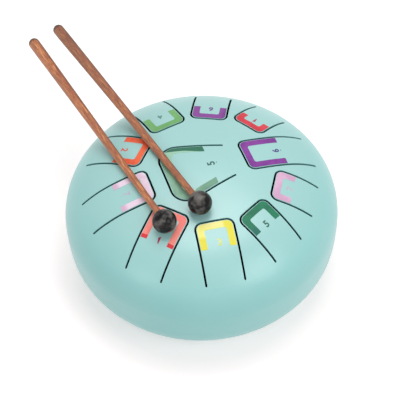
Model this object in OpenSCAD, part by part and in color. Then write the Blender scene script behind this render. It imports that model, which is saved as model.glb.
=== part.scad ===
// Steel tongue drum with eleven tongues and two mallets.
// Millimetres, +Z up. The origin is on the drum's axis, in the plane that the feet stand on.
// Angles are counter-clockwise from +X, seen from above. The front of the drum faces -Y.

/* [Drum body] */
// Diameter of the drum at its widest circle, where the two shells meet
drum_d = 200; // [170:1:260]
// Thickness of the steel sheet of both shells
steel_t = 1.2; // [0.8:0.1:2]
// Radius of the arc that rises from the widest circle
side_r = 34; // [28:1:40]
// Angle at which the side arc runs into the shoulder
side_turn = 45.5; // [40:0.5:50]
// Radius of the shoulder between the side and the crown
shoulder_r = 72; // [60:1:76]
// Angle at which the shoulder runs into the crown
shoulder_turn = 72; // [68:0.5:76]

/* [Bottom pan] */
// Radius of the nearly upright wall below the widest circle
wall_r = 150; // [120:1:180]
// Angle at which the wall runs into the lower corner
wall_turn = 7.5; // [5:0.5:10]
// Radius of the lower corner
corner_r = 30; // [24:1:34]
// Angle at which the corner runs into the shallow base
corner_turn = 83; // [80:0.5:85]
// Diameter of the round sound hole in the middle of the base
sound_hole_d = 50; // [40:1:60]

/* [Tongues] */
// Width of the cut slits
slit_w = 1.5; // [1:0.1:1.8]
// Radius of the slit's corners at the tip of an outer tongue
tip_r = 5; // [3.5:0.1:6]
// Radius of the slit's corners at the tip of the middle tongue
mid_tip_r = 12; // [9:0.5:14]
// Gap at the root line, where the real tongue bends and this one turns
root_gap = 0.05; // [0.04:0.01:0.1]

/* [Stickers] */
// Thickness of the printed vinyl
sticker_t = 0.12; // [0.1:0.01:0.2]
// Width of an outer bracket's band
band_w = 4.8; // [4:0.1:6]
// Bare margin between the sticker and the edge of its tongue
sticker_margin = 0.4; // [0.1:0.1:0.6]
// Width of the middle bracket's band across the tip of its tongue
mid_band_w = 8.1; // [6:0.1:9]
// Width of the middle bracket's arms
mid_arm_w = 5.6; // [4:0.1:6]
// Radius of an outer bracket's inner corners
bracket_r = 1.6; // [1:0.1:2.5]
// Radius of the middle bracket's inner corners
mid_bracket_r = 5; // [3:0.5:6]
// Thickness of the glue film under the vinyl
glue_t = 0.02; // [0.02:0.01:0.05]

/* [Feet] */
// Diameter of a foot
foot_d = 13; // [9:0.5:15]
// How far the feet stand proud of the lowest point of the pan
foot_drop = 2.5; // [2:0.1:5]
// Distance of the feet from the drum's axis
foot_reach = 55; // [45:1:60]
// Width of the bevel round a foot's lower edge
foot_bevel = 0.8; // [0.5:0.1:1.2]

/* [Mallets] */
// Diameter of the stick's straight neck, which sits in the ball
stick_d = 4.8; // [4:0.1:6]
// Diameter of the stick at its thick free end
butt_d = 8.4; // [6:0.1:10]
// Length of the whole wooden stick
stick_l = 221; // [180:1:240]
// Length of the straight neck
neck_l = 34; // [20:1:50]
// Length of the straight part behind the round tip of the free end
butt_l = 12; // [5:1:30]
// Diameter of the rubber ball
ball_d = 17.4; // [15:0.1:22]
// Depth of the blind hole that the stick sits in
socket_depth = 13; // [11:0.5:14]
// Air between a resting ball and the drum
ball_air = 0.3; // [0.3:0.05:0.6]
// Air between a resting stick, measured at its neck, and the highest thing under it
stick_air = 0.7; // [0.6:0.05:1]

/* [Hidden] */
$fn = 96;
// Steps in a full turn of the long, flat arcs of the shells
arc_fn = 360;

// The order of the tongues: the middle one, then the ring clockwise from the front left
TONGUE_NAMES = ["low_5", "1", "low_7", "2", "4", "6", "high_1", "low_6", "7", "5", "3"];

drum_r = drum_d / 2;
// Direction of each tongue from its tip to its root
tongue_turns = [17.3, 240.5, 197, 154.5, 116, 81.5, 50.5, 19, 347, 315, 280];
// Each row, in shares of the drum's radius: the slit's tip line, the ends of the slits,
// half the distance between the slits at their ends, and the end of the sticker's arms
tongue_shares = [
    [-0.26, 0.219, 0.1458, 0.08],
    [0.407, 0.867, 0.14, 0.665],
    [0.371, 0.851, 0.139, 0.626],
    [0.425, 0.845, 0.139, 0.643],
    [0.477, 0.86, 0.137, 0.66],
    [0.505, 0.83, 0.132, 0.658],
    [0.553, 0.838, 0.13, 0.672],
    [0.336, 0.838, 0.138, 0.631],
    [0.536, 0.835, 0.132, 0.678],
    [0.4905, 0.85, 0.134, 0.661],
    [0.46, 0.865, 0.14, 0.656]
];
// Half width that each tongue gains per unit of length towards its tip
tongue_flares = [0.304, 0, 0, 0, 0, 0, 0, 0, 0, 0, 0];
TONGUE_COLORS = [
    [0.53, 0.73, 0.6], [1, 0.5, 0.49], [0.95, 0.81, 0.92], [0.98, 0.38, 0.24], [0.49, 0.73, 0.43],
    [0.59, 0.27, 0.67], [0.92, 0.27, 0.33], [0.59, 0.27, 0.67], [0.96, 0.7, 0.84], [0.22, 0.55, 0.4],
    [0.99, 0.95, 0.45]
];

// Where the mallets lie: the ball's direction from the axis, its angle down the crown,
// and the direction in which the stick points away from the ball
mallet_left_place = [241.8, 15.5, 116.9];
mallet_right_place = [268.6, 10.3, 118.9];

// Angle between the line from the axis to a foot and the X axis
foot_turn = 45;

// One overrun for all cuts
over = 5;
// How far faces that run into each other smoothly are made to cross
lap = 0.005;
// How far a slice of a disc reaches into its larger neighbour's
spare_turn = 45;
seam_z = foot_drop + base_depth();

function along(a) = [cos(a), sin(a)];

// The three tangent arcs of a shell, as rows of centre, radius, start and end angle,
// with the height measured away from the seam
function shell_arcs(r1, turn1, r2, turn2) =
    let(c1 = [drum_r - r1, 0])
    let(c2 = c1 + (r1 - r2) * along(turn1))
    let(r3 = r2 + c2[0] / cos(turn2))
    let(c3 = c2 + (r2 - r3) * along(turn2))
    [[c1, r1, 0, turn1], [c2, r2, turn1, turn2], [c3, r3, turn2, 90]];
function top_arcs() = shell_arcs(side_r, side_turn, shoulder_r, shoulder_turn);
function base_arcs() = shell_arcs(wall_r, wall_turn, corner_r, corner_turn);
function apex(arcs) = arcs[2][0][1] + arcs[2][1];
function base_depth() = apex(base_arcs());

// The mallets: ball centres on a sphere round the crown's centre, stick axes tangent to another
function crown_r() = top_arcs()[2][1];
function crown_z() = seam_z + top_arcs()[2][0][1];
function ball_orbit() = crown_r() + ball_d / 2 + ball_air;
function stick_orbit() = crown_r() + stick_d / 2 + glue_t + sticker_t + stick_air;
function ball_centre(place) =
    let(out = ball_orbit() * sin(place[1]))
    [out * cos(place[0]), out * sin(place[0]), crown_z() + ball_orbit() * cos(place[1])];
function stick_dip(place) =
    let(rise = cos(place[1]))
    let(side = sin(place[1]) * cos(place[2] - place[0]))
    let(size = sqrt(rise * rise + side * side))
    let(reach = sqrt(1 - pow(stick_orbit() / ball_orbit(), 2)))
    atan2(side, rise) + asin(reach / size);

// How far an arc stands over its larger neighbours, so that their faces cross and don't just touch
function lead(arcs, k) = lap * len([for (arc = arcs) if (arc[1] > arcs[k][1]) arc]);

function is_smaller(arcs, n, k) = n >= 0 && n < len(arcs) && arcs[n][1] < arcs[k][1];

// The part of an arc's disc that may fill a shell: all of it, or the slice that ends where
// a smaller neighbour takes over
module slice(arcs, k, grow) {
    size = arcs[k][1] + grow + lead(arcs, k);
    far = 2 * size;
    starts = is_smaller(arcs, k - 1, k);
    stops = is_smaller(arcs, k + 1, k);
    from = arcs[k][2] - (starts ? 0 : spare_turn);
    to = arcs[k][3] + (stops ? 0 : spare_turn);
    translate(arcs[k][0])
        intersection() {
            circle(r = size, $fn = arc_fn);
            if (starts || stops)
                polygon([[0, 0], far * along(from), far * along((from + to) / 2), far * along(to)]);
            else
                square(2 * far, center = true);
        }
}

// Everything inside a shell's outer face, moved outwards by grow, on the seam's upper side
module inside(arcs, grow) {
    intersection() {
        union() {
            for (k = [0 : len(arcs) - 1])
                slice(arcs, k, grow);
        }
        square(drum_d);
    }
}

// A sheet that follows a shell's outer face, between two distances from it
module sheet_of(arcs, low, high) {
    rotate_extrude()
        difference() {
            inside(arcs, high);
            inside(arcs, low);
        }
}

module top_sheet(low, high) {
    translate([0, 0, seam_z])
        sheet_of(top_arcs(), low, high);
}

function tip_u(i) = drum_r * tongue_shares[i][0];
function root_u(i) = drum_r * tongue_shares[i][1];
function root_half(i) = drum_r * tongue_shares[i][2];
function arm_u(i) = drum_r * tongue_shares[i][3];
function slit_corner(i) = i == 0 ? mid_tip_r : tip_r;
function tip_band(i) = i == 0 ? mid_band_w : band_w;
function arm_band(i) = i == 0 ? mid_arm_w : band_w;
function bracket_corner(i) = i == 0 ? mid_bracket_r : bracket_r;
function flare(i) = tongue_flares[i];
function slope(i) = sqrt(1 + pow(flare(i), 2));
// Half the distance between the slit lines at u, moved outwards by grow
function half_at(i, u, grow) = root_half(i) + flare(i) * (root_u(i) - u) + grow * slope(i);

// Plan of a tongue from its tip line to the line at end, moved outwards by grow
module tongue_plan(i, grow, corner, end) {
    tip = tip_u(i) - grow;
    c_u = tip + corner;
    c_s = half_at(i, c_u, grow - corner);
    t_u = c_u + corner * flare(i) / slope(i);
    t_s = c_s + corner / slope(i);
    e_s = half_at(i, end, grow);
    polygon([[tip, c_s], [tip, -c_s], [t_u, -t_s], [end, -e_s], [end, e_s], [t_u, t_s]]);
    for (side = [-1, 1])
        translate([c_u, side * c_s])
            circle(r = corner + lap);
}

// The hole in the top shell that a tongue and its slit take up
module tongue_opening(i) {
    rotate(tongue_turns[i])
        translate([0, 0, seam_z])
            linear_extrude(drum_r) {
                tongue_plan(i, slit_w / 2, slit_corner(i) + slit_w / 2, root_u(i));
                for (side = [-1, 1])
                    translate([root_u(i), side * root_half(i)])
                        circle(d = slit_w, $fn = 24);
            }
}

module top_shell() {
    color([0.63, 0.86, 0.83])
        difference() {
            top_sheet(-steel_t, 0);
            for (i = [0 : len(tongue_shares) - 1])
                tongue_opening(i);
        }
}

module tongue(i) {
    color([0.65, 0.87, 0.84])
        intersection() {
            top_sheet(-steel_t, 0);
            rotate(tongue_turns[i])
                translate([0, 0, seam_z])
                    linear_extrude(drum_r)
                        tongue_plan(i, -slit_w / 2, slit_corner(i) - slit_w / 2, root_u(i) - root_gap);
        }
}

// A bracket round the tip of a tongue, open towards its root
module sticker(i) {
    edge = slit_w / 2 + sticker_margin;
    color(TONGUE_COLORS[i])
        intersection() {
            top_sheet(glue_t, glue_t + sticker_t);
            rotate(tongue_turns[i])
                translate([0, 0, seam_z])
                    linear_extrude(drum_r)
                        difference() {
                            tongue_plan(i, -edge, slit_corner(i) - edge, arm_u(i));
                            translate([tip_band(i) - arm_band(i), 0])
                                tongue_plan(i, -edge - arm_band(i), bracket_corner(i), arm_u(i) + over);
                        }
        }
}

// The sheet of the bottom pan, turned over under the seam
module base_sheet(low, high) {
    translate([0, 0, seam_z])
        rotate([180, 0, 0])
            sheet_of(base_arcs(), low, high);
}

module bottom_shell() {
    color([0.6, 0.83, 0.8])
        difference() {
            base_sheet(-steel_t, 0);
            cylinder(d = sound_hole_d, h = seam_z);
        }
}

// A rubber foot with a bevelled lower edge, and its top cut to the curve of the pan
module foot(side_x, side_y) {
    place = foot_reach * [side_x * cos(foot_turn), side_y * sin(foot_turn)];
    height = foot_drop + base_depth() / 4;
    color([0.13, 0.13, 0.13])
        intersection() {
            translate([place[0], place[1], 0]) {
                cylinder(d1 = foot_d - 2 * foot_bevel, d2 = foot_d, h = foot_bevel);
                translate([0, 0, foot_bevel])
                    cylinder(d = foot_d, h = height);
            }
            base_sheet(glue_t, height);
        }
}

// Puts what is drawn along +X from the ball's centre where the mallet lies
module lay(place) {
    translate(ball_centre(place))
        rotate([0, stick_dip(place), place[2]])
            children();
}

module mallet_stick(place) {
    taper_l = stick_l - neck_l - butt_l - butt_d / 2;
    color([0.62, 0.36, 0.26])
        lay(place)
            translate([ball_d / 2 - socket_depth, 0, 0])
                rotate([0, 90, 0]) {
                    cylinder(d = stick_d, h = neck_l, $fn = 48);
                    translate([0, 0, neck_l])
                        cylinder(d1 = stick_d, d2 = butt_d, h = taper_l, $fn = 48);
                    translate([0, 0, neck_l + taper_l]) {
                        cylinder(d = butt_d, h = butt_l, $fn = 48);
                        translate([0, 0, butt_l])
                            sphere(d = butt_d, $fn = 48);
                    }
                }
}

module mallet_ball(place) {
    color([0.12, 0.12, 0.12])
        lay(place)
            rotate([0, 90, 0])
                difference() {
                    sphere(d = ball_d);
                    translate([0, 0, ball_d / 2 - socket_depth - glue_t])
                        cylinder(d = stick_d + 2 * glue_t, h = ball_d, $fn = 48);
                }
}

top_shell();
bottom_shell();
for (i = [0 : len(TONGUE_NAMES) - 1]) {
    tongue(i);
    sticker(i);
}
foot(-1, -1);  // foot_front_left
foot(1, -1);  // foot_front_right
foot(-1, 1);  // foot_back_left
foot(1, 1);  // foot_back_right
mallet_stick(mallet_left_place);  // mallet_left_stick
mallet_ball(mallet_left_place);  // mallet_left_ball
mallet_stick(mallet_right_place);  // mallet_right_stick
mallet_ball(mallet_right_place);  // mallet_right_ball
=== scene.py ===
"""Looks of the steel tongue drum: paint, printed vinyl, digits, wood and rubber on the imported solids."""

import math

import bmesh
import bpy
from mathutils import Matrix, Vector


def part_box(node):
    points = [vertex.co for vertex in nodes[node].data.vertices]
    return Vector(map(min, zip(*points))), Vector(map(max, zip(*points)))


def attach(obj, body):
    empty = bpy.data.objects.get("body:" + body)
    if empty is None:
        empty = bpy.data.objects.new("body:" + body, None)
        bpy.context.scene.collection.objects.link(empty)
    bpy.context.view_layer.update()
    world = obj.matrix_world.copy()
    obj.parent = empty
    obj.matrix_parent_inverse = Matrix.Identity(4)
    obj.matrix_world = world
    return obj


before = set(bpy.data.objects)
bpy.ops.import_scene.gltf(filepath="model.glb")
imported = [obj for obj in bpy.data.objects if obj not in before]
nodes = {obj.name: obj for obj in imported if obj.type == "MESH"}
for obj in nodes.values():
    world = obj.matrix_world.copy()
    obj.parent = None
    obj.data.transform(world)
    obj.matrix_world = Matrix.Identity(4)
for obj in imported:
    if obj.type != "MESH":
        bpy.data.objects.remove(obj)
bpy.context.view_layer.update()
scene = bpy.context.scene

MM = 0.001
# Keeps a division on the drum's axis from failing
TINY = 1e-6

# Camera: fitted to the drum's outline and the slits of the photograph
CAM_POS = Vector((-0.000806, -0.99004, 1.33534))
CAM_DOWN = math.radians(52.08)
CAM_ROLL = math.radians(-2.295)
CAM_LENS = 198.36
CAM_CLIP_END = 20
SENSOR = 36.0


def make_camera():
    forward = Vector((0, math.cos(CAM_DOWN), -math.sin(CAM_DOWN)))
    level_up = Vector((0, math.sin(CAM_DOWN), math.cos(CAM_DOWN)))
    level_right = Vector((1, 0, 0))
    right = math.cos(CAM_ROLL) * level_right + math.sin(CAM_ROLL) * level_up
    up = math.cos(CAM_ROLL) * level_up - math.sin(CAM_ROLL) * level_right
    data = bpy.data.cameras.new("camera")
    data.lens = CAM_LENS
    data.sensor_width = SENSOR
    data.clip_end = CAM_CLIP_END
    cam = bpy.data.objects.new("camera", data)
    scene.collection.objects.link(cam)
    cam.matrix_world = Matrix.Translation(CAM_POS) @ Matrix((right, up, -forward)).transposed().to_4x4()
    scene.camera = cam


# The top shell's outer face: the same three arcs as in part.scad, in mm
DRUM_R = 100.0
SIDE_R, SIDE_TURN = 34.0, math.radians(45.5)
SHOULDER_R, SHOULDER_TURN = 72.0, math.radians(72.0)
SEAM_Z = 52.382
C1 = (DRUM_R - SIDE_R, 0.0)
C2 = (C1[0] + (SIDE_R - SHOULDER_R) * math.cos(SIDE_TURN), (SIDE_R - SHOULDER_R) * math.sin(SIDE_TURN))
CROWN_R = SHOULDER_R + C2[0] / math.cos(SHOULDER_TURN)
C3 = (0.0, C2[1] + (SHOULDER_R - CROWN_R) * math.sin(SHOULDER_TURN))
CROWN_REACH = C2[0] + SHOULDER_R * math.cos(SHOULDER_TURN)


def dome_point(x, y, out):
    """The point over (x, y) mm that stands out by that much from the top shell's outer face."""
    rho = math.hypot(x, y)
    centre, size = (C3, CROWN_R) if rho < CROWN_REACH else (C2, SHOULDER_R)
    z = centre[1] + math.sqrt(size * size - (rho - centre[0]) ** 2)
    n = Vector(((rho - centre[0]) / size, (z - centre[1]) / size))
    side = n.x * out / max(rho, TINY)
    return Vector((x * (1 + side), y * (1 + side), SEAM_Z + z + n.y * out)) * MM


# Notes: name, digit, octave dot, direction in degrees, digit's place along and across the tongue in mm
NOTES = {
    "low_5": ("5", -1, 17.3, 8.5, 0.1),
    "1": ("1", 0, 240.5, 64.3, 1.2),
    "low_7": ("7", -1, 197.0, 55.5, 0.0),
    "2": ("2", 0, 154.5, 60.0, 0.0),
    "4": ("4", 0, 116.0, 62.9, 0.0),
    "6": ("6", 0, 81.5, 62.8, -0.6),
    "high_1": ("1", 1, 50.5, 65.4, 0.0),
    "low_6": ("6", -1, 19.0, 58.6, 0.0),
    "7": ("7", 0, 347.0, 65.8, 0.0),
    "5": ("5", 0, 315.0, 64.4, -0.2),
    "3": ("3", 0, 280.0, 62.0, 1.2),
}


def tongue_point(note, u, v, out):
    """The point u mm along and v mm across a note's tongue, standing out by that much from the dome."""
    turn = math.radians(NOTES[note][2])
    c, s = math.cos(turn), math.sin(turn)
    return dome_point(u * c - v * s, u * s + v * c, out)


def srgb(r, g, b):
    """A colour given as the 0 to 255 values that a screen shows."""
    def lin(v):
        v /= 255
        return v / 12.92 if v <= 0.04045 else ((v + 0.055) / 1.055) ** 2.4
    return (lin(r), lin(g), lin(b), 1.0)


# Material helpers
class Shader:
    """One node material with a Principled shader, built up call by call."""

    def __init__(self, name, rough, **sockets):
        self.mat = bpy.data.materials.new(name)
        self.mat.use_nodes = True
        self.tree = self.mat.node_tree
        self.bsdf = self.tree.nodes["Principled BSDF"]
        self.set(Roughness=rough, **sockets)
        self.coords = self.node("ShaderNodeTexCoord").outputs["Object"]

    def set(self, **sockets):
        for key, value in sockets.items():
            self.bsdf.inputs[key.replace("_", " ")].default_value = value

    def node(self, kind, **props):
        n = self.tree.nodes.new(kind)
        for key, value in props.items():
            setattr(n, key, value)
        return n

    def link(self, a, b):
        self.tree.links.new(a, b)

    def math(self, op, a, b=None, c=None):
        n = self.node("ShaderNodeMath", operation=op)
        for i, v in enumerate((a, b, c)):
            if v is None:
                continue
            if isinstance(v, (int, float)):
                n.inputs[i].default_value = v
            else:
                self.link(v, n.inputs[i])
        return n.outputs[0]

    def length(self, x, y):
        """The length of the flat vector (x, y)."""
        squares = self.math("ADD", self.math("MULTIPLY", x, x), self.math("MULTIPLY", y, y))
        return self.math("SQRT", squares)

    def spread(self, value, low, high):
        """value from 0..1 to low..high"""
        return self.math("MULTIPLY_ADD", value, high - low, low)

    def ramp01(self, value, low, high):
        """0 below low, 1 above high, smooth between."""
        n = self.node("ShaderNodeMapRange", interpolation_type="SMOOTHSTEP")
        self.link(value, n.inputs["Value"])
        n.inputs["From Min"].default_value = low
        n.inputs["From Max"].default_value = high
        return n.outputs["Result"]

    def place(self, vec=None, turn=(0, 0, 0), scale=(1, 1, 1)):
        n = self.node("ShaderNodeMapping", vector_type="POINT")
        self.link(vec or self.coords, n.inputs["Vector"])
        n.inputs["Rotation"].default_value = turn
        n.inputs["Scale"].default_value = scale
        return n.outputs["Vector"]

    def noise(self, scale, detail, rough=0.5, vec=None, distortion=0.0):
        n = self.node("ShaderNodeTexNoise")
        self.link(vec or self.coords, n.inputs["Vector"])
        n.inputs["Scale"].default_value = scale
        n.inputs["Detail"].default_value = detail
        n.inputs["Roughness"].default_value = rough
        n.inputs["Distortion"].default_value = distortion
        return n.outputs["Fac"]

    def split(self, vec):
        n = self.node("ShaderNodeSeparateXYZ")
        self.link(vec, n.inputs[0])
        return n.outputs

    def mix(self, fac, a, b):
        """Colour a where fac is 0, colour b where it is 1."""
        n = self.node("ShaderNodeMix", data_type="RGBA")
        self.link(fac, n.inputs[0])
        for socket, v in ((n.inputs[6], a), (n.inputs[7], b)):
            if isinstance(v, tuple):
                socket.default_value = v
            else:
                self.link(v, socket)
        return n.outputs[2]

    def cover(self, base, over, where, share):
        """Colour over laid on colour base where that is 1, hiding that share of it."""
        return self.mix(self.math("MULTIPLY", where, share), base, over)

    def colour_ramp(self, fac, stops):
        n = self.node("ShaderNodeValToRGB")
        self.link(fac, n.inputs[0])
        ramp = n.color_ramp
        while len(ramp.elements) < len(stops):
            ramp.elements.new(0.5)
        for e, (at, col) in zip(ramp.elements, stops):
            e.position = at
            e.color = col
        return n.outputs[0]

    def paint(self, colour):
        self.link(colour, self.bsdf.inputs["Base Color"])

    def rough(self, value):
        self.link(value, self.bsdf.inputs["Roughness"])

    def bump(self, height, depth, strength):
        n = self.node("ShaderNodeBump")
        n.inputs["Distance"].default_value = depth
        n.inputs["Strength"].default_value = strength
        self.link(height, n.inputs["Height"])
        self.link(n.outputs["Normal"], self.bsdf.inputs["Normal"])


# Drum paint
TEAL = srgb(139, 205, 203)
# Paler teal for the painted sheen on the crown
TEAL_CROWN_SHEEN = srgb(159, 207, 204)
TEAL_CLOUD = srgb(164, 216, 213)
TEAL_SPECK = srgb(190, 232, 228)
# Darker teal on the slits' walls: painted shade in the slits
SLIT_WALL_SHADE = srgb(96, 168, 166)
# Bare steel inside, darkened to near black as painted shade, in a mottle of two tones
BARE_STEEL_SHADE = srgb(12, 22, 23)
STEEL_SHADE_MOTTLE = srgb(24, 38, 40)
WHITE = srgb(255, 255, 255)
# The crown's painted sheen, a paler teal, begins and ends at these heights over the seam, in mm
SHEEN_FROM, SHEEN_TO = 6, 48
# A wall is a face whose normal rises by less than this
UPRIGHT = 0.03
# All the slits lie within this distance from the axis, in m
SLIT_REACH = 0.0955


def paint_material(name):
    s = Shader(name, rough=0.32, Specular_IOR_Level=0.7)
    at = s.split(s.coords)
    # Painted sheen: the teal is a little paler towards the crown
    crown_sheen = s.ramp01(at[2], (SEAM_Z + SHEEN_FROM) * MM, (SEAM_Z + SHEEN_TO) * MM)
    colour = s.mix(crown_sheen, TEAL, TEAL_CROWN_SHEEN)
    colour = s.cover(colour, TEAL_CLOUD, s.ramp01(s.noise(18, 2), 0.35, 0.65), 0.25)
    colour = s.mix(s.spread(s.noise(900, 3), 0.0, 0.06), colour, TEAL_SPECK)
    # The inside is bare steel, darkened to near black as painted shade inside the drum. The slits' walls,
    # which stand upright inside the rim, are a darker teal, painted shade in the slits
    geometry = s.node("ShaderNodeNewGeometry")
    normal = s.split(geometry.outputs["True Normal"])
    rise = s.math("MULTIPLY", s.math("SUBTRACT", at[2], SEAM_Z * MM), normal[2])
    flat = s.math("ADD", s.math("MULTIPLY", at[0], normal[0]), s.math("MULTIPLY", at[1], normal[1]))
    inner = s.math("LESS_THAN", s.math("ADD", flat, rise), 0.0)
    upright = s.math("LESS_THAN", s.math("ABSOLUTE", normal[2]), UPRIGHT)
    wall = s.math("MULTIPLY", upright, s.math("LESS_THAN", s.length(at[0], at[1]), SLIT_REACH))
    shaded_steel = s.mix(s.noise(300, 3), BARE_STEEL_SHADE, STEEL_SHADE_MOTTLE)
    s.paint(s.mix(wall, s.mix(inner, colour, shaded_steel), SLIT_WALL_SHADE))
    bare = s.math("MULTIPLY", inner, s.math("SUBTRACT", 1.0, wall))
    s.link(bare, s.bsdf.inputs["Metallic"])
    rough = s.math("MAXIMUM", s.math("MULTIPLY", bare, 0.6), s.spread(s.noise(1400, 2), 0.28, 0.38))
    s.rough(s.math("MAXIMUM", wall, rough))
    s.bump(s.noise(1100, 3, 0.6), 0.00003, 0.3)
    return s.mat


def vinyl_material(name, turn, tones):
    """Printed vinyl. tones is called with the shader, and u along and v across the tongue in mm."""
    s = Shader(name, rough=0.5, Specular_IOR_Level=0.35)
    own = s.split(s.place(turn=(0, 0, -math.radians(turn)), scale=(1 / MM, 1 / MM, 1 / MM)))
    colour = tones(s, own[0], own[1])
    s.paint(s.cover(colour, WHITE, s.ramp01(s.noise(2200, 2), 0.55, 0.75), 0.04))
    s.bump(s.noise(1500, 2), 0.00002, 0.3)
    return s.mat


def watercolour(s, light, dark, scale=90):
    """Two tones of one ink that run into each other, as washed on paper."""
    return s.mix(s.ramp01(s.noise(scale, 3, 0.55, distortion=0.6), 0.40, 0.66), light, dark)


def plain_tones(light, dark):
    """Washed vinyl in two tones, which takes no note of the place."""
    return lambda s, u, v: watercolour(s, light, dark)


def end_tones(light, dark, end, start, stop):
    """Washed vinyl that changes to the tone end between start and stop along the tongue."""
    return lambda s, u, v: s.mix(s.ramp01(u, start, stop), watercolour(s, light, dark), end)


# The places in the tones are read off the photograph, in mm along (u) and across (v) each tongue
def tones_3(s, u, v):
    body = watercolour(s, srgb(247, 239, 150), srgb(245, 238, 124))
    deep = s.math("MAXIMUM", s.ramp01(u, 55.5, 58.5), s.ramp01(v, 5.0, 8.0))
    return s.mix(deep, body, srgb(232, 222, 70))


# The painted light on the tip fades out between these places along the tongue
TIP_LIGHT_FADES_U = (-12.0, -2.0)
CREAM_CENTRE = (-11.75, -12.53)
CREAM_R = (6.3, 5.9)
CREAM_START_U = -17.8
CREAM_STOP_U = -9.0
CREAM_MIDDLE_V = -7.0
CREAM_HALF = 6.0
ARM_START_U = (-19.5, -18.5)
ARM_START_V = (6.0, 8.0)
# The back arm's outer edge is at ARM_EDGE + ARM_SLOPE * u
ARM_EDGE = 21.24
ARM_SLOPE = -0.304
ARM_BAND = (4.4, 4.8)
ARM_NARROWS_U = (-8.0, 6.0)
ARM_NARROWS_BY = 1.6


def tones_low_5(s, u, v):
    # The tip is painted lighter: painted light against the mallet's shadow over it
    lit_tip = watercolour(s, srgb(142, 188, 160), srgb(126, 171, 144))
    front = watercolour(s, srgb(116, 162, 136), srgb(102, 146, 122))
    sage = s.mix(s.ramp01(u, *TIP_LIGHT_FADES_U), lit_tip, front)
    # The inner edge is cream at the tip's front corner
    corner = s.length(s.math("SUBTRACT", u, CREAM_CENTRE[0]), s.math("SUBTRACT", v, CREAM_CENTRE[1]))
    off = s.math("ABSOLUTE", s.math("SUBTRACT", v, CREAM_MIDDLE_V))
    edge = s.math("GREATER_THAN", u, CREAM_START_U)
    edge = s.math("MULTIPLY", edge, s.math("LESS_THAN", off, CREAM_HALF))
    cream = s.math("MAXIMUM", s.ramp01(corner, *CREAM_R), edge)
    cream = s.math("MULTIPLY", cream, s.math("LESS_THAN", u, CREAM_STOP_U))
    sage = s.mix(cream, sage, srgb(226, 232, 204))
    # The back arm is dark over a pale band, which narrows to nothing at its end
    depth = s.math("SUBTRACT", s.math("MULTIPLY_ADD", u, ARM_SLOPE, ARM_EDGE), v)
    narrower = s.math("MULTIPLY", s.ramp01(u, *ARM_NARROWS_U), ARM_NARROWS_BY)
    depth = s.math("SUBTRACT", depth, narrower)
    arm = s.mix(s.ramp01(depth, *ARM_BAND), srgb(44, 108, 84), srgb(158, 206, 180))
    back = s.math("MULTIPLY", s.ramp01(v, *ARM_START_V), s.ramp01(u, *ARM_START_U))
    return s.mix(back, sage, arm)


def tones_5(s, u, v):
    body = watercolour(s, srgb(24, 120, 85), srgb(18, 107, 76))
    end = s.math("MULTIPLY", s.ramp01(u, 60.5, 61.5), s.math("LESS_THAN", v, 0.0))
    return s.mix(end, body, srgb(24, 106, 90))


TONES = {
    "low_5": tones_low_5,
    "1": end_tones(srgb(255, 146, 134), srgb(255, 128, 120), srgb(221, 50, 58), 63.5, 64.1),
    "low_7": end_tones(srgb(240, 218, 236), srgb(229, 202, 223), srgb(219, 178, 206), 57.0, 61.0),
    "2": plain_tones(srgb(242, 108, 68), srgb(230, 86, 52)),
    "4": plain_tones(srgb(120, 180, 110), srgb(107, 167, 101)),
    "6": plain_tones(srgb(138, 67, 152), srgb(118, 53, 136)),
    "high_1": plain_tones(srgb(218, 65, 79), srgb(206, 51, 66)),
    "low_6": plain_tones(srgb(135, 60, 154), srgb(120, 47, 140)),
    "7": plain_tones(srgb(221, 180, 208), srgb(209, 163, 196)),
    "5": tones_5,
    "3": tones_3,
}
INKS = {
    "low_5": srgb(46, 98, 92),
    "1": srgb(186, 30, 92),
    "low_7": srgb(196, 188, 206),
    "2": srgb(222, 92, 70),
    "4": srgb(94, 146, 134),
    "6": srgb(100, 66, 132),
    "high_1": srgb(182, 86, 102),
    "low_6": srgb(74, 62, 132),
    "7": srgb(200, 190, 206),
    "5": srgb(34, 100, 84),
    "3": srgb(228, 232, 118),
}
INK_SHADE = 0.86
# The wood's streaks, from the darkest to the palest
GRAIN = [
    (0.32, srgb(108, 56, 36)),
    (0.44, srgb(164, 96, 60)),
    (0.56, srgb(202, 126, 80)),
    (0.69, srgb(234, 172, 112)),
]
WOOD_BROAD = srgb(142, 78, 56)
WOOD_FREE_END = srgb(104, 62, 48)
# Painted shade and painted light for the two sides of a stick
WOOD_SHADE_SIDE = srgb(92, 42, 18)
WOOD_LIT_SIDE = srgb(232, 168, 132)
WOOD_PORE = srgb(74, 38, 28)
WOOD_OILED = srgb(56, 40, 18)
# Where each tone of a stick begins and is full, in m: from the ball, to one side of the axis, from the butt
FREE_END_AT = (0.10, 0.19)
SHADE_SIDE_AT = (0.0002, 0.0027)
LIT_SIDE_AT = (-0.0008, -0.0030)
OILED_DEPTH = (0.0056, 0.0030)


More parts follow.
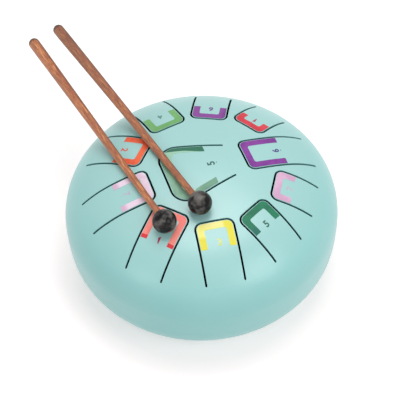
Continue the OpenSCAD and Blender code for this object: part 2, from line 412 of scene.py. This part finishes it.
def wood_material(name, start, end, tone):
    """Oiled hardwood whose grain runs from start to end, darker by tone towards its free end."""
    s = Shader(name, rough=0.5, Coat_Weight=0.12, Coat_Roughness=0.35)
    along = (end - start).normalized()
    local = s.place(turn=along.to_track_quat("X", "Z").inverted().to_euler())
    reach = s.math("SUBTRACT", s.split(local)[0], start.dot(along))
    streak = s.noise(900, 5, 0.7, s.place(local, scale=(0.14, 1, 1)), 0.5)
    broad = s.noise(150, 2, 0.5, s.place(local, scale=(0.2, 1, 1)), 0.8)
    colour = s.cover(s.colour_ramp(streak, GRAIN), WOOD_BROAD, s.ramp01(broad, 0.42, 0.62), 0.45)
    free = s.math("MULTIPLY_ADD", s.ramp01(reach, *FREE_END_AT), 0.6 * tone, 0.4 * tone)
    colour = s.mix(free, colour, WOOD_FREE_END)
    # Painted shade darkens one side of the stick, and painted light makes the other side paler
    across = Vector((along.y, -along.x, 0)).normalized()
    at = s.split(s.coords)
    side = s.math("ADD", s.math("MULTIPLY", at[0], across.x), s.math("MULTIPLY", at[1], across.y))
    side = s.math("SUBTRACT", side, start.dot(across))
    colour = s.cover(colour, WOOD_SHADE_SIDE, s.ramp01(side, *SHADE_SIDE_AT), 0.62)
    colour = s.cover(colour, WOOD_LIT_SIDE, s.ramp01(side, *LIT_SIDE_AT), 0.20)
    pores = s.noise(2600, 2, 0.6, s.place(local, scale=(0.1, 1, 1)))
    colour = s.cover(colour, WOOD_PORE, s.ramp01(pores, 0.58, 0.70), 0.5)
    # The end grain has soaked up more oil
    butt = (end - start).length
    soaked = s.ramp01(reach, butt - OILED_DEPTH[0], butt - OILED_DEPTH[1])
    s.paint(s.cover(colour, WOOD_OILED, soaked, 0.85))
    s.rough(s.spread(streak, 0.42, 0.62))
    s.bump(pores, 0.00006, 0.5)
    return s.mat


def ball_material():
    s = Shader("ball_rubber", rough=0.3, Specular_IOR_Level=0.08, Coat_Weight=0.22, Coat_Roughness=0.14)
    # Grey clouds on the black rubber: partly the rubber's own mottle, partly painted reflections
    mottle_and_reflection = s.noise(150, 2, 0.5)
    colour = s.mix(s.ramp01(mottle_and_reflection, 0.40, 0.68), srgb(5, 5, 6), srgb(104, 100, 97))
    s.paint(s.cover(colour, srgb(122, 122, 124), s.ramp01(s.noise(1800, 2, 0.6), 0.62, 0.74), 0.25))
    s.rough(s.spread(mottle_and_reflection, 0.18, 0.40))
    s.bump(s.noise(900, 3), 0.00008, 0.3)
    return s.mat


def ink_material(note):
    s = Shader("ink_" + note, rough=0.45)
    ink = INKS[note]
    shade = tuple(INK_SHADE * v for v in ink[:3]) + (1.0,)
    s.paint(watercolour(s, ink, shade, 300))
    return s.mat


def foot_material():
    s = Shader("foot_rubber", rough=0.8)
    s.paint(s.mix(s.noise(700, 3), srgb(30, 30, 31), srgb(46, 46, 47)))
    s.bump(s.noise(1600, 3), 0.00008, 0.4)
    return s.mat


def add_piece(name, bm, material):
    """A visible piece of the scene's own, made from a bmesh, which is freed."""
    bmesh.ops.recalc_face_normals(bm, faces=bm.faces)
    mesh = bpy.data.meshes.new(name)
    bm.to_mesh(mesh)
    bm.free()
    mesh.materials.append(material)
    obj = bpy.data.objects.new(name, mesh)
    scene.collection.objects.link(obj)
    return obj


def dress(node, material):
    slots = nodes[node].data.materials
    if not slots:
        slots.append(material)
    for i in range(len(slots)):
        slots[i] = material


# Digits: printed on each tongue, as thin raised ink that follows the dome, in mm
DIGIT_H = 5.1
DIGIT_H_LOW_5 = 5.6
GLYPH_BOLDER = 0.03
INK_UP = 0.05
INK_DOWN = 0.1
# A digit starts as a flat plate of twice this thickness, before it is laid on the dome
PLATE_HALF = 0.5
# The digits are cut along a grid of this width, so that they can bend over the dome
GRID = 0.6
SAME_POINT = 1e-5
DOT_R = 0.4
DOT_SIDES = 20
DOT_GAP = 1.3


def glyph_mesh(text, height):
    """A flat, closed mesh of one digit in mm, centred, its top towards +Y."""
    curve = bpy.data.curves.new("glyph", "FONT")
    curve.body = text
    curve.size = 1.0
    curve.extrude = PLATE_HALF
    curve.offset = GLYPH_BOLDER
    curve.resolution_u = 6
    holder = bpy.data.objects.new("glyph", curve)
    scene.collection.objects.link(holder)
    bpy.context.view_layer.update()
    mesh = bpy.data.meshes.new_from_object(holder.evaluated_get(bpy.context.evaluated_depsgraph_get()))
    bpy.data.objects.remove(holder)
    bm = bmesh.new()
    bm.from_mesh(mesh)
    bmesh.ops.remove_doubles(bm, verts=bm.verts, dist=SAME_POINT)
    xs = [v.co.x for v in bm.verts]
    ys = [v.co.y for v in bm.verts]
    k = height / (max(ys) - min(ys))
    mid = ((max(xs) + min(xs)) / 2, (max(ys) + min(ys)) / 2)
    for v in bm.verts:
        v.co.x = (v.co.x - mid[0]) * k
        v.co.y = (v.co.y - mid[1]) * k
    return bm


def one_mesh(height):
    """A 1 with a flag, as one closed plate in mm, centred, its top towards +Y."""
    top = height / 2
    outline = [
        (0.40, -top), (0.40, top), (-0.10, top),
        (-1.47, top - 1.10), (-1.15, top - 1.62), (-0.33, top - 1.00), (-0.33, -top),
    ]
    bm = bmesh.new()
    low = [bm.verts.new((x, y, -PLATE_HALF)) for x, y in outline]
    high = [bm.verts.new((x, y, PLATE_HALF)) for x, y in outline]
    bm.faces.new(low[::-1])
    bm.faces.new(high)
    for i in range(len(outline)):
        bm.faces.new((low[i - 1], low[i], high[i], high[i - 1]))
    bmesh.ops.triangulate(bm, faces=[f for f in bm.faces if len(f.verts) > 4])
    return bm


def add_dot(bm, y):
    size = {"radius1": DOT_R, "radius2": DOT_R, "depth": 2 * PLATE_HALF}
    made = bmesh.ops.create_cone(bm, cap_ends=True, segments=DOT_SIDES, **size)
    bmesh.ops.translate(bm, verts=made["verts"], vec=(0, y, 0))


def make_digit(note):
    text, dot, _, u, side = NOTES[note]
    height = DIGIT_H_LOW_5 if note == "low_5" else DIGIT_H
    bm = one_mesh(height) if text == "1" else glyph_mesh(text, height)
    if dot:
        add_dot(bm, dot * (height / 2 + DOT_GAP))
    reach = int(height / GRID) + 1
    for axis in ((1, 0, 0), (0, 1, 0)):
        for i in range(-reach, reach + 1):
            at = Vector(axis) * (i + 0.5) * GRID
            whole = bm.verts[:] + bm.edges[:] + bm.faces[:]
            bmesh.ops.bisect_plane(bm, geom=whole, plane_co=at, plane_no=axis, dist=SAME_POINT)
    for v in bm.verts:
        out = INK_UP if v.co.z > 0 else -INK_DOWN
        # The digit's top points at the tongue's tip, against u
        v.co = tongue_point(note, u - v.co.y, side + v.co.x, out)
    obj = add_piece("digit_" + note, bm, ink_material(note))
    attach(obj, "note_" + note)


# Paint over the roots: the real sheet is whole there
# For each note, the root line's distance from the axis and half the tongue's width in mm, as in part.scad
ROOTS = {
    "low_5": (21.9, 14.58),
    "1": (86.7, 14.0),
    "low_7": (85.1, 13.9),
    "2": (84.5, 13.9),
    "4": (86.0, 13.7),
    "6": (83.0, 13.2),
    "high_1": (83.8, 13.0),
    "low_6": (83.8, 13.8),
    "7": (83.5, 13.2),
    "5": (85.0, 13.4),
    "3": (86.5, 14.0),
}
ROOT_W = 0.5
# The film ends this far short of half the tongue's width
ROOT_SIDE = 0.78
ROOT_STEPS = 12
# The film's cross-section: places along the tongue and heights over the paint, in mm
ROOT_SECTION = ((-ROOT_W, -0.02), (ROOT_W, -0.02), (ROOT_W, 0.012), (0, 0.014), (-ROOT_W, 0.012))


def make_root_paint(paint):
    """A film of paint over each tongue's root line, from slit to slit."""
    bm = bmesh.new()
    for note, (root, half) in ROOTS.items():
        rings = []
        for i in range(2 * ROOT_STEPS + 1):
            across = (half - ROOT_SIDE) * (i / ROOT_STEPS - 1)
            ring = []
            for along, out in ROOT_SECTION:
                ring.append(bm.verts.new(tongue_point(note, root + along, across, out)))
            rings.append(ring)
        for a, b in zip(rings, rings[1:]):
            for k in range(len(ROOT_SECTION)):
                bm.faces.new((a[k], a[k - 1], b[k - 1], b[k]))
        bm.faces.new(rings[0])
        bm.faces.new(rings[-1][::-1])
    obj = add_piece("root_paint", bm, paint)
    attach(obj, "drum")


def dress_drum():
    paint = paint_material("drum_paint")
    rubber = foot_material()
    for name in ("top_shell", "bottom_shell"):
        dress(name, paint)
    make_root_paint(paint)
    for name in ("front_left", "front_right", "back_left", "back_right"):
        dress("foot_" + name, rubber)
    for note in NOTES:
        dress("tongue_" + note, paint)
        dress("sticker_" + note, vinyl_material("vinyl_" + note, NOTES[note][2], TONES[note]))
        make_digit(note)


# The right stick is darker in the photograph
STICK_TONES = {"left": 0.0, "right": 0.55}
# How far, in m, the butt's points may be from the farthest one
BUTT_DEPTH = 0.001


def dress_mallets():
    ball = ball_material()
    for side, tone in STICK_TONES.items():
        low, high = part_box("mallet_%s_ball" % side)
        ball_at = (low + high) / 2
        # The butt is the middle of the points that are farthest from the ball
        points = [v.co for v in nodes["mallet_%s_stick" % side].data.vertices]
        far = max((p - ball_at).length for p in points)
        ends = [p for p in points if (p - ball_at).length > far - BUTT_DEPTH]
        butt = sum(ends, Vector()) / len(ends)
        dress("mallet_%s_stick" % side, wood_material("mallet_wood_" + side, ball_at, butt, tone))
        dress("mallet_%s_ball" % side, ball)


# Floor, world and lamps
FLOOR_SIZE = 8.0
FLOOR_GLOW = 0.37
WORLD_LIGHT = 0.5
FLOOR_PALE = (0.86, 0.86, 0.86, 1)
FLOOR_WARM = (0.96, 0.852, 0.852, 1)
# Painted shade for the floor under the sound hole
FLOOR_HOLE_SHADE = (0.1, 0.1, 0.1, 1)
# Distances from the drum's axis, in m, where each change of the floor begins and is full
WARM_AT = (0.17, 0.10)
HOLE_SHADE_AT = (0.06, 0.04)
SHADE_AT = (0.19, 0.110)
RIM_AT = (0.110, 0.085)
LIT_AT = (0.035, 0.055)
SHADE_LOSS = -0.085
RIM_LIGHT_GAIN = 0.12
# Lamps: name, place, aim, size in m, power in W
LAMPS = (
    ("overhead", (0.06, 0.28, 1.75), (0, 0, 0.05), 1.2, 13.8),
    ("front_left", (-1.05, -0.85, 0.90), (0, 0, 0.08), 0.45, 1.4),
    ("front_right", (0.90, -0.80, 0.97), (0, 0, 0.08), 0.80, 4.6),
)


def make_floor():
    bpy.ops.mesh.primitive_plane_add(size=FLOOR_SIZE, location=(0, 0, 0))
    floor = bpy.context.object
    floor.name = "floor"
    s = Shader("floor", rough=0.9, Specular_IOR_Level=0.0, Emission_Color=(1, 1, 1, 1))
    at = s.split(s.coords)
    rho = s.length(at[0], at[1])
    # Slightly warm beside the drum: a painted warm tint against the teal light that the drum throws there
    colour = s.mix(s.ramp01(rho, *WARM_AT), FLOOR_PALE, FLOOR_WARM)
    # Painted shade: dark under the drum's sound hole, where the floor shows through the slits
    s.paint(s.mix(s.ramp01(rho, *HOLE_SHADE_AT), colour, FLOOR_HOLE_SHADE))
    path = s.node("ShaderNodeLightPath")
    seen = s.math("MAXIMUM", path.outputs["Is Camera Ray"], path.outputs["Is Glossy Ray"])
    seen = s.math("MAXIMUM", seen, path.outputs["Is Transmission Ray"])
    # Painted shadow as a faint wide shade round the drum, painted light as more glow under its rim, and no
    # glow under its sound hole, a painted shade there
    glow = s.math("MULTIPLY_ADD", s.ramp01(rho, *SHADE_AT), SHADE_LOSS, FLOOR_GLOW)
    glow = s.math("MULTIPLY_ADD", s.ramp01(rho, *RIM_AT), RIM_LIGHT_GAIN, glow)
    glow = s.math("MULTIPLY", s.math("MULTIPLY", seen, glow), s.ramp01(rho, *LIT_AT))
    s.link(glow, s.bsdf.inputs["Emission Strength"])
    floor.data.materials.append(s.mat)


def make_world():
    """Plain white light, brighter where the camera sees it, also in or through a surface."""
    world = bpy.data.worlds.new("studio")
    scene.world = world
    world.use_nodes = True
    tree = world.node_tree
    back = tree.nodes["Background"]
    back.inputs["Color"].default_value = (1, 1, 1, 1)
    path = tree.nodes.new("ShaderNodeLightPath")
    seen = path.outputs["Is Camera Ray"]
    for ray in ("Is Transmission Ray", "Is Glossy Ray"):
        either = tree.nodes.new("ShaderNodeMath")
        either.operation = "MAXIMUM"
        tree.links.new(seen, either.inputs[0])
        tree.links.new(path.outputs[ray], either.inputs[1])
        seen = either.outputs[0]
    level = tree.nodes.new("ShaderNodeMapRange")
    level.inputs["To Min"].default_value = WORLD_LIGHT
    level.inputs["To Max"].default_value = 1.0
    tree.links.new(seen, level.inputs["Value"])
    tree.links.new(level.outputs["Result"], back.inputs["Strength"])


def make_lamp(name, place, aim, size, watts):
    data = bpy.data.lights.new(name, "AREA")
    data.shape = "DISK"
    data.size = size
    data.energy = watts
    obj = bpy.data.objects.new(name, data)
    scene.collection.objects.link(obj)
    obj.location = place
    obj.rotation_euler = (Vector(aim) - Vector(place)).to_track_quat("-Z", "Y").to_euler()


make_camera()
dress_drum()
dress_mallets()
make_floor()
make_world()
for each in LAMPS:
    make_lamp(*each)
scene.view_settings.view_transform = "Standard"
